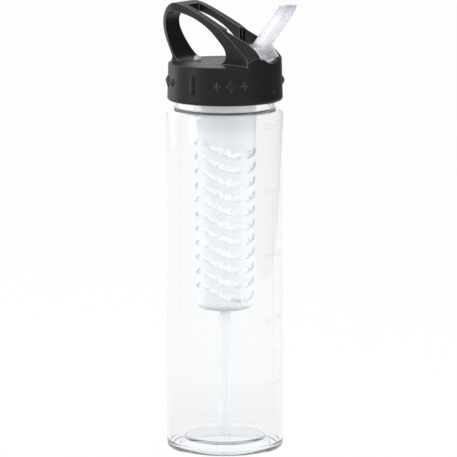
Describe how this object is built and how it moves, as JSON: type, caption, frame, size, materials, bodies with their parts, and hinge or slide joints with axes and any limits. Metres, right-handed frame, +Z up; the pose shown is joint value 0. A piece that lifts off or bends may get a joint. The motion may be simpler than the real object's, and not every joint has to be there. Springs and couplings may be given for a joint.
{
  "type": "fruit infuser water bottle",
  "caption": "Clear straight-sided water bottle with a black screw lid, wishbone carrying handle, flip-up drinking spout, straw and a slotted fruit infuser basket hanging inside",
  "frame": {"origin": "Centre of the bottle's foot ring, on the surface the bottle stands on", "axes": "+Z up the bottle's axis, +X to the side the spout points to, so XZ is the middle plane of the lid, and +Y to the left of a user whom the spout faces away from"},
  "size_m": [0.0902, 0.071, 0.2734],
  "materials": {
    "clear_bottle": "clear, glossy copolyester",
    "black_lid": "satin black moulded polypropylene",
    "milky_plastic": "translucent natural polypropylene",
    "clear_spout": "clear plastic, slightly smoky",
    "clear_straw": "clear extruded tube",
    "silicone": "natural silicone"
  },
  "bodies": {
    "bottle": {"bottle_body": "clear_bottle"},
    "lid_seal": {"lid_gasket": "silicone"},
    "lid": {"lid_shell": "black_lid", "lid_insert": "milky_plastic", "vent_valve": "silicone", "spout_seal": "silicone", "straw": "clear_straw"},
    "spout": {"flip_spout": "clear_spout"},
    "basket_carrier": {"straw_grommet": "silicone"},
    "basket": {"infuser_basket": "milky_plastic"}
  },
  "joints": [
    {"name": "lid_lift", "type": "slide", "parent": "bottle", "child": "lid_seal", "axis": [0, 0, 1], "range_m": [0, 0.0061]},
    {"name": "lid_turn", "type": "hinge", "parent": "lid_seal", "child": "lid", "pos_m": [0, 0, 0.2205], "axis": [0, 0, 1], "range_deg": [0, 540]},
    {"name": "spout_flip", "type": "hinge", "parent": "lid", "child": "spout", "pos_m": [0.022, 0, 0.2426], "axis": [0, -1, 0], "range_deg": [0, 98.8]},
    {"name": "basket_drop", "type": "slide", "parent": "lid", "child": "basket_carrier", "axis": [0, 0, -1], "range_m": [0, 0.0061]},
    {"name": "basket_turn", "type": "hinge", "parent": "basket_carrier", "child": "basket", "pos_m": [0, 0, 0.086], "axis": [0, 0, -1], "range_deg": [0, 540]}
  ],
  "couplings": [
    {"joint": "lid_lift", "follows": "lid_turn", "m_per_rad": 0.00063662},
    {"joint": "basket_drop", "follows": "basket_turn", "m_per_rad": 0.00063662}
  ]
}
